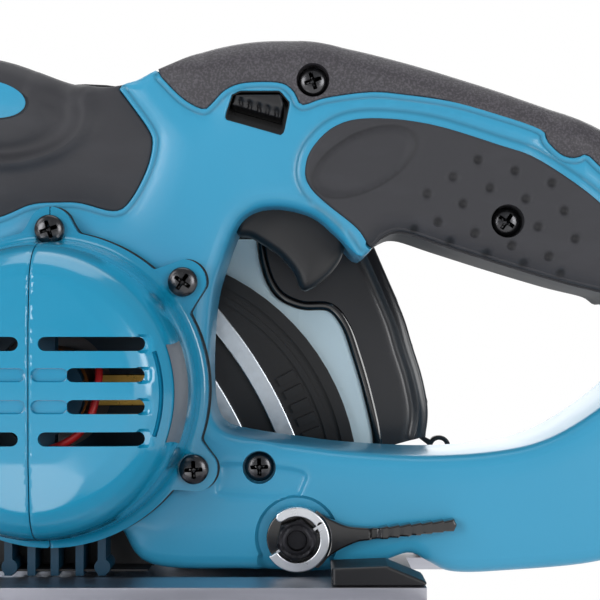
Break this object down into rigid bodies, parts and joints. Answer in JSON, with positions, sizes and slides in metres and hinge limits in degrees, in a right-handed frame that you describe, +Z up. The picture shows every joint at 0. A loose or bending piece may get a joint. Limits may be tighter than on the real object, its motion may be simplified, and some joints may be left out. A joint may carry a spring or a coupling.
{
  "type": "track plunge saw",
  "caption": "Plunge-cut circular saw for a guide rail: D-handle head with side motor pivots in a tilting blade case on a flat sole.",
  "frame": {"origin": "on the underside of the sole, below the spindle, in the plane where the two handle halves meet", "axes": "+X to the rear of the saw, +Y from the motor side to the blade side, +Z up"},
  "size_m": [0.344, 0.2084, 0.2246],
  "materials": {
    "blue_plastic": "satin moulded blue plastic",
    "cover_blue": "glossy moulded blue plastic",
    "dark_blue": "moulded blue plastic in shade",
    "grained_black": "coarse spark-grained black plastic",
    "black_plastic": "black moulded plastic",
    "gloss_black": "glossy black plastic",
    "soft_grip": "soft overmoulded grip",
    "panel_grey": "pale blue-grey plastic",
    "aluminium": "extruded and machined aluminium",
    "cast_metal": "die-cast metal",
    "steel": "ground steel",
    "black_steel": "black oxide steel",
    "bright_chrome": "bright plated steel",
    "brass": "brass",
    "copper": "copper segments",
    "carbon": "carbon",
    "lamination": "stacked steel sheets with windings"
  },
  "bodies": {
    "base": {"sole_plate": "aluminium", "front_bracket": "black_steel", "rear_bracket": "black_steel", "bracket_screws": "steel"},
    "anti_tip": {"anti_tip_slide": "black_plastic"},
    "cam_front": {"front_rail_cam": "black_plastic"},
    "cam_rear": {"rear_rail_cam": "black_plastic"},
    "case": {"blade_case": "black_plastic", "outer_cover": "blue_plastic", "duct_panel": "panel_grey", "seal_bead": "gloss_black", "rear_shell": "black_plastic", "pivot_pin": "steel", "depth_scale": "aluminium", "depth_stop": "black_plastic"},
    "nozzle": {"dust_nozzle": "black_plastic"},
    "knob_front": {"front_bevel_knob": "black_plastic"},
    "knob_rear": {"rear_bevel_knob": "black_plastic"},
    "head": {"gear_housing": "cast_metal", "baffle_ring": "black_plastic", "guard_rings": "cast_metal", "motor_housing": "dark_blue", "housing_left": "blue_plastic", "housing_right": "blue_plastic", "motor_cover_front": "cover_blue", "motor_cover_rear": "cover_blue", "top_cover": "grained_black", "grip_left": "soft_grip", "grip_right": "soft_grip", "front_grip": "soft_grip", "cover_screws": "black_steel", "handle_screws": "black_steel", "switch_block": "black_plastic", "stator": "lamination", "brush_holders": "brass", "carbon_brushes": "carbon", "shaft_bearings": "steel", "spindle_bearings": "steel", "cord_bush": "black_plastic", "trigger_pin": "steel", "lever_nut": "black_steel", "idler_pin": "steel", "plunge_spring": "steel"},
    "trigger_lever": {"trigger": "black_plastic"},
    "lock_off": {"lock_off_lever": "black_plastic"},
    "arm_lever": {"clamp_lever": "black_plastic", "lever_jaw": "bright_chrome"},
    "dial": {"speed_dial": "black_plastic"},
    "lock_button": {"spindle_lock": "black_plastic"},
    "rotor": {"armature": "lamination", "commutator": "copper", "fan": "black_plastic", "pinion": "steel"},
    "idler_wheel": {"idler_gear": "steel"},
    "spindle": {"spindle_shaft": "steel", "spindle_gear": "steel", "inner_flange": "steel", "outer_flange": "steel", "saw_blade": "steel", "blade_bolt": "black_steel"}
  },
  "joints": [
    {"name": "bevel_tilt", "type": "hinge", "parent": "base", "child": "case", "pos_m": [0, 0.0749, 0], "axis": [-1, 0, 0], "range_deg": [-1, 48]},
    {"name": "plunge", "type": "hinge", "parent": "case", "child": "head", "pos_m": [-0.108, 0.055, 0.026], "axis": [0, -1, 0], "range_deg": [0, 31]},
    {"name": "blade_spin", "type": "hinge", "parent": "head", "child": "spindle", "pos_m": [0, 0.06, 0.0275], "axis": [0, 1, 0], "continuous": true},
    {"name": "idler_spin", "type": "hinge", "parent": "head", "child": "idler_wheel", "pos_m": [0.00131, 0.047, 0.05747], "axis": [0, 1, 0], "continuous": true},
    {"name": "armature_spin", "type": "hinge", "parent": "head", "child": "rotor", "pos_m": [-0.0131, 0, 0.0635], "axis": [0, 1, 0], "continuous": true},
    {"name": "trigger_pull", "type": "hinge", "parent": "head", "child": "trigger_lever", "pos_m": [0.046, 0, 0.12], "axis": [0, -1, 0], "range_deg": [0, 9], "stiffness_Nm_per_rad": 0.6, "springref_deg": -8.02},
    {"name": "lock_off_push", "type": "slide", "parent": "head", "child": "lock_off", "axis": [0, 0, -1], "range_m": [0, 0.0035], "stiffness_N_per_m": 120, "springref_m": -0.002},
    {"name": "clamp_turn", "type": "hinge", "parent": "head", "child": "arm_lever", "pos_m": [0.0601, -0.027, 0.0188], "axis": [0, -1, 0], "range_deg": [0, 60]},
    {"name": "dial_turn", "type": "hinge", "parent": "head", "child": "dial", "pos_m": [0.027, 0.022, 0.131], "axis": [0, 1, 0], "range_deg": [0, 270]},
    {"name": "spindle_lock_push", "type": "slide", "parent": "head", "child": "lock_button", "axis": [0, 0, -1], "range_m": [0, 0.004], "stiffness_N_per_m": 300, "springref_m": -0.002},
    {"name": "front_knob_turn", "type": "hinge", "parent": "case", "child": "knob_front", "pos_m": [-0.14, 0.02791, 0.0171], "axis": [-1, 0, 0], "range_deg": [0, 180]},
    {"name": "rear_knob_turn", "type": "hinge", "parent": "case", "child": "knob_rear", "pos_m": [0.116, 0.05065, 0.014], "axis": [1, 0, 0], "range_deg": [0, 180]},
    {"name": "nozzle_swivel", "type": "hinge", "parent": "case", "child": "nozzle", "pos_m": [0.1, 0.079, 0.131], "axis": [1, 0, 0], "continuous": true},
    {"name": "front_cam_turn", "type": "hinge", "parent": "base", "child": "cam_front", "pos_m": [-0.132, -0.0405, 0.01], "axis": [0, 0, 1], "range_deg": [-45, 45]},
    {"name": "rear_cam_turn", "type": "hinge", "parent": "base", "child": "cam_rear", "pos_m": [-0.046, -0.0405, 0.01], "axis": [0, 0, 1], "range_deg": [-45, 45]},
    {"name": "anti_tip_push", "type": "slide", "parent": "base", "child": "anti_tip", "axis": [-1, 0, 0], "range_m": [0, 0.008]}
  ],
  "couplings": [
    {"joint": "idler_spin", "follows": "blade_spin", "ratio": -2},
    {"joint": "armature_spin", "follows": "blade_spin", "ratio": 3.5556}
  ]
}
